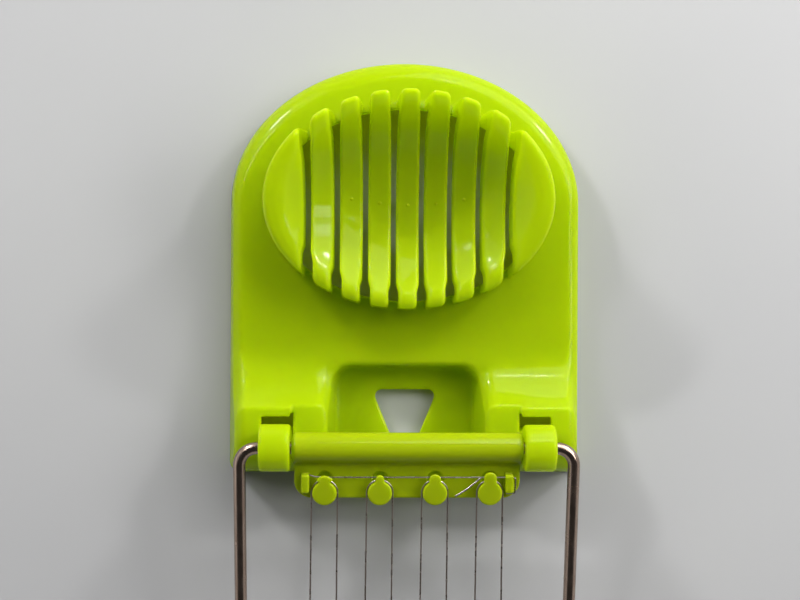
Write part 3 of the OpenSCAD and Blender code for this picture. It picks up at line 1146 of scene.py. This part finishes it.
@dataclass
class TensionBar(Moulding):
    """Round bar on the rod's ends, with a flange that carries four pegs and two end posts."""

    plane: BowPlane
    name: str = "tension_moulding"
    r: float = 3.5
    half_l: float = 26.0
    end_r: float = 1.0
    # the flange, with a round dimple behind each hook
    flange_half_l: float = 25.5
    flange_l: float = 11.5
    flange_low: float = -1.2
    flange_top: float = 1.0
    flange_w: float = -0.1
    flange_edge_r: float = 0.3
    flange_fillet_r: float = 0.5
    corner_r: float = 4.0
    dimple_u: float = 6.95
    dimple_r: float = 1.75
    dimple_d: float = 1.4
    dimple_edge_r: float = 0.1
    # the pegs
    peg_count: int = 4
    peg_u: float = 9.7
    pitch: float = 12.4
    boss_r: float = 2.6
    boss_lap: float = 0.2
    head_r: float = 2.75
    head_low: float = 2.466
    head_t: float = 0.8
    head_edge_r: float = 0.25
    hook_wide: tuple = (1.1, 0.98, 1.35, 1.45)
    hook_reach: tuple = (3.0, 3.25, 3.1, 3.48)
    hook_fillet_r: float = 0.35
    # the first hook's tip has a wide flash
    flash_out: float = 0.15
    flash_half: tuple[float, float] = (1.75, 0.75)
    flash_fillet_r: float = 0.3
    # the end posts
    post_x: float = 22.95
    post_u: float = 7.55
    post_w: float = 1.6
    post_half: Triple = (0.92, 2.1, 1.66)
    post_r: float = 0.4
    post_edge_r: float = 0.3
    # the grid
    step: float = 0.27
    low: Triple = (-26.6, -4.1, -4.1)
    high: Triple = (26.6, 13.3, 4.1)

    def nearest_peg(self, x: Array) -> Array:
        """Number of the nearest peg, counted from the left."""
        half = self.peg_count // 2
        return np.clip(np.round(x / self.pitch - 0.5), -half, half - 1).astype(int) + half

    def peg_x(self, number: Array) -> Array:
        """X of a peg."""
        return (number - self.peg_count // 2 + 0.5) * self.pitch

    def pegs(self, x: Array, u: Array, w: Array) -> Array:
        """Field of the pegs: a boss, and a head like a keyhole whose hook reaches back over the wire.

        Args:
            x: X of each point.
            u: Distance from the hinge axis.
            w: Height over the bow's plane.

        Returns:
            The field.
        """
        which = self.nearest_peg(x)
        px = x - self.peg_x(which)
        radial = np.hypot(px, u - self.peg_u)
        boss = both(radial - self.boss_r, w - self.head_low - self.boss_lap)
        boss = both(boss, self.flange_low - w)
        wide, reach = np.array(self.hook_wide)[which], np.array(self.hook_reach)[which]
        hook = np.hypot(px, np.maximum(self.peg_u - reach - u, 0.0)) - wide
        flash = ellipse(px, u - self.peg_u + self.hook_reach[0] + self.flash_out, *self.flash_half)
        hook = np.where(which == 0, either(hook, flash, self.flash_fillet_r), hook)
        hook = both(hook, u - self.peg_u)
        outline = either(radial - self.head_r, hook, self.hook_fillet_r)
        half = self.head_t / 2
        head = both(outline, np.abs(w - self.head_low - half) - half, self.head_edge_r)
        return np.minimum(boss, head)

    def field(self, x: Array, u: Array, w: Array) -> Array:
        """Bar, flange with a round dimple behind each hook, pegs and end posts.

        Args:
            x: X of each point.
            u: Distance from the hinge axis.
            w: Height over the bow's plane.

        Returns:
            The field.
        """
        bar = both(np.hypot(u, w) - self.r, np.abs(x) - self.half_l, self.end_r)
        plan = both(np.abs(x) - self.flange_half_l, u - self.flange_l, self.corner_r)
        thick = (self.flange_top - self.flange_low) / 2
        flange = both(plan, np.abs(w - self.flange_w) - thick, self.flange_edge_r)
        flange = both(flange, -u)
        round_dimple = np.hypot(x - self.peg_x(self.nearest_peg(x)), u - self.dimple_u) - self.dimple_r
        dimple = both(round_dimple, self.flange_top - self.dimple_d - w)
        flange = without(flange, dimple, self.dimple_edge_r)
        body = either(bar, flange, self.flange_fillet_r)
        half_x, half_u, half_w = self.post_half
        slab = both(np.abs(np.abs(x) - self.post_x) - half_x, np.abs(u - self.post_u) - half_u, self.post_r)
        post = both(slab, np.abs(w - self.post_w) - half_w, self.post_edge_r)
        return np.minimum(np.minimum(body, post), self.pegs(x, u, w))

    def place(self, points: Array) -> Array:
        """From the bow's plane to the shared frame."""
        return self.plane.place(points)


@dataclass
class HandleBar(Moulding):
    """Round grip on the cross rod, with a flange and pegs toward the wires and a finger lip outside."""

    plane: BowPlane
    name: str = "handle_moulding"
    r: float = 3.0
    half_l: float = 31.2
    end_r: float = 1.2
    # the flange toward the wires
    flange_low: float = -0.33
    flange_u: float = 92.26
    flange_past: float = 2.1
    flange_half_t: float = 1.0
    flange_corner_r: float = 2.0
    flange_edge_r: float = 0.3
    # the finger lip outside
    lip_half_l: float = 18.7
    lip_out: float = 5.65
    lip_half_t: float = 1.0
    lip_corner_r: float = 2.5
    lip_edge_r: float = 0.5
    fillet_r: float = 0.8
    # the pegs and posts below the flange
    peg_u: float = 95.56
    pitch: float = 13.1
    boss_r: float = 3.05
    post_x: float = 24.25
    post_r: float = 1.1
    under: float = 1.6
    stem_lap: float = 0.1
    stem_top: float = 0.5
    head_past: float = 0.2
    head_half_t: float = 0.4
    head_edge_r: float = 0.2
    # the grid
    step: float = 0.33
    low: Triple = (-32.0, 90.5, -3.6)
    high: Triple = (32.0, 108.9, 3.6)

    def field(self, x: Array, u: Array, w: Array) -> Array:
        """Bar, flange, lip, and the pegs and posts below the flange.

        Args:
            x: X of each point.
            u: Distance from the hinge axis.
            w: Height over the bow's plane.

        Returns:
            The field.
        """
        far = self.plane.length
        bar = both(np.hypot(u - far, w) - self.r, np.abs(x) - self.half_l, self.end_r)
        wide = np.abs(x) - self.post_x - self.flange_past
        plan = both(both(wide, self.flange_u - u, self.flange_corner_r), u - far)
        half = self.flange_half_t
        flange = both(plan, np.abs(w - self.flange_low - half) - half, self.flange_edge_r)
        lip = both(np.abs(x) - self.lip_half_l, u - far - self.lip_out, self.lip_corner_r)
        lip = both(both(lip, far - u), np.abs(w) - self.lip_half_t, self.lip_edge_r)
        body = either(either(bar, flange, self.fillet_r), lip, self.fillet_r)
        k = np.clip(np.round(x / self.pitch), -1, 1)
        out = np.hypot(x - k * self.pitch, u - self.peg_u)
        post = np.hypot(np.abs(x) - self.post_x, u - self.peg_u)
        stem = np.minimum(out - self.boss_r, post - self.post_r)
        pegs = both(stem, both(-self.under - w - self.stem_lap, w - self.stem_top))
        thick = np.abs(w + self.under + self.head_half_t) - self.head_half_t
        head = both(stem - self.head_past, thick, self.head_edge_r)
        return np.minimum(np.minimum(body, pegs), head)

    def place(self, points: Array) -> Array:
        """From the bow's plane to the shared frame."""
        return self.plane.place(points)


@dataclass
class WireHarness:
    """One long wire strung to and fro between the pegs, and the thin tie wire across the near pegs."""

    plane: BowPlane
    r: float = 0.2
    sides: int = 12
    near_u: float = 9.7
    near_w: float = 2.1
    far_u: float = 95.56
    far_w: float = -1.227
    runs_normal: Triple = (0.0, 0.0387, 0.99925)
    near_count: int = 4
    near_pitch: float = 12.4
    far_pitch: float = 13.1
    near_r: float = 2.9
    far_r: float = 3.3
    end_r: float = 1.35
    post_x: float = 24.25
    # the tie wire: its left end, its run under the hooks, and its turn round the right post
    tie_share: float = 0.8
    tie_left: tuple = ((-22.6, 5.55), (-20.4, 6.15))
    tie_from: float = -20.2
    tie_u: float = 6.2
    tie_to: float = 23.9
    tie_turn_x: float = 23.85
    tie_turn_r: float = 0.5
    tie_turn_u: float = 9.45
    tie_back: float = 22.0
    # its loose end, which rises in a slight bow
    loose_start: tuple[float, float] = (16.6, 6.25)
    loose_end: tuple[float, float] = (10.8, 10.5)
    loose_rise: float = 0.45
    loose_bow: float = 0.25

    def build_cutting_wire(self) -> None:
        """Runs, near loops, far loops and both wound ends, as one path in the plane of the runs."""
        length = float(np.hypot(self.far_u - self.near_u, self.near_w - self.far_w))
        last = self.near_count - 1
        parts = [bend(-self.post_x, length, self.end_r, -270, 0, count=30)]
        for k in range(self.near_count):
            near, far = (k - last / 2) * self.near_pitch, (k - last / 2 + 0.5) * self.far_pitch
            left = far - self.far_pitch + self.far_r if k else -self.post_x + self.end_r
            right = far - self.far_r if k < last else self.post_x - self.end_r
            parts.append(straight(left, length, near - self.near_r, 0.0, count=12))
            parts.append(bend(near, 0.0, self.near_r, 180, 360, count=28))
            parts.append(straight(near + self.near_r, 0.0, right, length, count=12))
            if k < last:
                parts.append(bend(far, length, self.far_r, 180, 0, count=28))
        parts.append(bend(self.post_x, length, self.end_r, 180, 450, count=30))
        path = np.concatenate(parts)
        along = path[:, 1] / length
        u = self.near_u + along * (self.far_u - self.near_u)
        w = self.near_w + along * (self.far_w - self.near_w)
        path = self.plane.place(np.stack([path[:, 0], u, w], 1))
        points, faces = carry(path, self.plane.direction(self.runs_normal), self.r, self.sides)
        nodes = [f"wire_run_{i + 1}" for i in range(2 * self.near_count)]
        nodes += [f"peg_loop_{i + 1}" for i in range(self.near_count)]
        nodes += [f"handle_loop_{i + 1}" for i in range(last)] + ["wire_end_left", "wire_end_right"]
        make_piece("slicing_wire", points, faces, WIRE_STEEL, Body.FRAME, tuple(nodes))

    def build_tie_wire(self) -> None:
        """Tie wire from the left post under the hooks and round the right post, and its loose end."""
        u, x, r, top = self.tie_u, self.tie_turn_x, self.tie_turn_r, self.tie_turn_u
        run = np.concatenate([
            straight(*self.tie_left[0], *self.tie_left[1], count=4),
            straight(self.tie_from, u, self.tie_to, u, count=40),
            bend(x, u + r, r, -90, 0, count=8),
            straight(x + r, u + r, x + r, top, count=6),
            bend(x, top, r, 0, 90, count=8),
            straight(x, top + r, self.tie_back, top + r, count=4),
        ])
        run = np.column_stack([run, np.full(len(run), self.near_w)])
        t = np.linspace(0.0, 1.0, 16)[:, None]
        start = np.array([[*self.loose_start, self.near_w]])
        end = np.array([[*self.loose_end, self.near_w + self.loose_rise]])
        loose = (1 - t) * start + t * end
        loose[:, 1] += self.loose_bow * np.sin(pi * t[:, 0])
        up = self.plane.direction((0.0, 0.0, 1.0))
        pieces = (("tie_wire_run", run, self.r * self.tie_share), ("tie_wire_end", loose, self.r))
        for name, path, radius in pieces:
            points, faces = carry(self.plane.place(path), up, radius, self.sides)
            make_piece(name, points, faces, WIRE_STEEL, Body.FRAME, ("tie_wire",))


# ---- studio ----


@dataclass(frozen=True)
class Lamp:
    """A rectangular area lamp."""

    name: str
    at: Triple
    size: tuple[float, float]
    power: float
    colour: Triple = (1.0, 1.0, 1.0)

    def put_up(self, aim: Vector) -> None:
        """Hangs the lamp in its place, facing a point.

        Args:
            aim: The point, in metres.
        """
        data = bpy.data.lights.new(self.name, "AREA")
        data.shape = "RECTANGLE"
        data.size, data.size_y = self.size
        data.energy = self.power
        data.color = self.colour
        obj = bpy.data.objects.new(self.name, data)
        obj.location = self.at
        obj.rotation_euler = (aim - Vector(self.at)).to_track_quat("-Z", "Y").to_euler()
        bpy.context.scene.collection.objects.link(obj)


WARM = (1.0, 0.99, 0.97)
LAMPS = (
    Lamp("window_right", (0.32, 0.39, 0.33), (0.75, 0.50), 4.2),
    Lamp("window_left", (-0.29, 0.38, 0.30), (0.30, 0.37), 0.55, (0.99, 0.99, 1.0)),
    Lamp("side_near", (0.62, 0.01, 0.48), (0.14, 0.16), 0.65, WARM),
    Lamp("side_far", (0.60, 0.23, 0.47), (0.14, 0.16), 0.65, WARM),
    Lamp("side_left", (-0.60, 0.05, 0.27), (0.60, 0.50), 0.42, (0.98, 0.98, 1.0)),
    Lamp("high_left", (-0.43, 0.34, 0.54), (0.24, 0.08), 0.70),
    Lamp("pane_left", (-0.46, 0.58, 0.36), (0.11, 0.03), 2.50),
    Lamp("pane_right", (0.54, 0.53, 0.36), (0.10, 0.05), 2.03),
    Lamp("pane_high", (0.42, 0.09, 0.68), (0.06, 0.05), 0.08),
    Lamp("pane_far", (0.125, 0.60, 0.57), (0.08, 0.008), 0.26),
)


@dataclass
class Studio:
    """Pale table, soft window light from the arched end and from the right, and the camera."""

    camera_at: Triple = (-0.011306, 0.041689, 0.320727)
    camera_turn: Triple = (-0.0010, -0.0316, 0.0053)
    lens: float = 59.73
    sensor: float = 36.0
    nearest: float = 0.01
    aim: Triple = (0.0, 0.04, 0.01)
    # the table's half width, its points a side, its two tones and its gloss
    table_half: float = 6.0
    table_count: int = 25
    tone_dark: Triple = (0.43, 0.43, 0.435)
    tone_light: Triple = (0.455, 0.455, 0.455)
    tone_scale: float = 9.0
    table_rough: tuple[float, float] = (0.42, 0.5)
    rough_scale: float = 40.0
    table_specular: float = 0.2
    # the light from all round, and the pale backdrop with the distances and heights over which it fades
    air: Triple = (0.98, 0.99, 1.0)
    fill: float = 0.045
    backdrop: float = 0.5
    fade: tuple[float, float] = (0.2, 0.95)
    backdrop_top: tuple[float, float] = (0.36, 0.5)

    def table(self) -> None:
        """Pale grey table top: a grid of points at height zero, with a faint cloudy tone.

        It looks paler with distance, from just outside the lamps' light.
        """
        count = self.table_count
        t = np.linspace(-self.table_half, self.table_half, count)
        x, y = np.meshgrid(t, t, indexing="ij")
        points = np.stack([x, y, np.zeros_like(x)], -1).reshape(-1, 3)
        i, j = np.meshgrid(np.arange(count - 1), np.arange(count - 1), indexing="ij")
        a = i * count + j
        faces = np.stack([a, a + count, a + count + 1, a + 1], -1).reshape(-1, 4)
        mesh = bpy.data.meshes.new("table_top")
        mesh.from_pydata(points.tolist(), [], faces.tolist())
        obj = bpy.data.objects.new("table_top", mesh)
        bpy.context.scene.collection.objects.link(obj)
        n = SurfaceNodes("table_top")
        tones = n.noise(self.tone_scale, detail=3.0)
        tone = n.blend(tones, (n.NOISE_LOW, n.NOISE_HIGH), self.tone_dark, self.tone_light)
        rough = n.between(n.noise(self.rough_scale, detail=4.0), *self.table_rough)
        reach = n.add("ShaderNodeVectorMath", operation="LENGTH")
        n.link(n.coords.outputs["Object"], reach.inputs[0])
        rise = n.spread(reach.outputs["Value"], self.fade, (0.0, self.backdrop), "SMOOTHSTEP")
        n.drive(Base_Color=tone, Roughness=rough, Emission_Strength=n.seen(rise))
        n.set(Specular_IOR_Level=self.table_specular, Emission_Color=(*self.air, 1.0))
        mesh.materials.append(n.mat)

    def world(self) -> None:
        """Dim even surroundings, and a pale backdrop round the horizon that adds little light."""
        world = bpy.data.worlds.new("studio")
        world.use_nodes = True
        n = Nodes(world.node_tree)
        toward = n.add("ShaderNodeSeparateXYZ")
        n.link(n.coords.outputs["Generated"], toward.inputs[0])
        wall = n.spread(toward.outputs["Z"], self.backdrop_top, (self.backdrop - self.fill, 0.0))
        total = n.add("ShaderNodeMath", operation="ADD")
        total.inputs[1].default_value = self.fill
        n.link(n.seen(wall), total.inputs[0])
        ground = n.tree.nodes["Background"]
        ground.inputs["Color"].default_value = (*self.air, 1.0)
        n.link(total.outputs["Value"], ground.inputs["Strength"])
        bpy.context.scene.world = world

    def camera(self) -> None:
        """Camera above the base, looking down."""
        data = bpy.data.cameras.new("camera")
        data.sensor_width = self.sensor
        data.lens = self.lens
        data.clip_start = self.nearest
        obj = bpy.data.objects.new("camera", data)
        obj.location = self.camera_at
        obj.rotation_euler = self.camera_turn
        bpy.context.scene.collection.objects.link(obj)
        bpy.context.scene.camera = obj

    def build(self) -> None:
        """Puts up table, surroundings, camera and lamps."""
        self.table()
        self.world()
        self.camera()
        for lamp in LAMPS:
            lamp.put_up(Vector(self.aim))


def main() -> None:
    """Builds every sub-assembly in order."""
    logging.basicConfig(level=logging.INFO, format="%(name)s %(message)s")
    scene = bpy.context.scene
    scene.view_settings.view_transform = "Standard"
    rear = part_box("base_shell")[0].y / MM
    hinge = frame["joints"][0]["pos_m"]
    plane = BowPlane(hinge[1] / MM, hinge[2] / MM)
    cradle = CradleShape()
    Studio().build()
    BaseShell(cradle, rear).build(PLASTIC, Body.BASE, ("base_shell",))
    EggCradle(cradle, rear).build(PLASTIC, Body.BASE, ("egg_cradle",))
    MouldPips(cradle, rear).build()
    SteelBow(plane).build()
    TensionBar(plane).build(THICK, Body.FRAME, ("tension_bar",))
    HandleBar(plane).build(THICK, Body.FRAME, ("handle_bar",))
    wires = WireHarness(plane)
    wires.build_cutting_wire()
    wires.build_tie_wire()


if __name__ == "__main__":
    main()
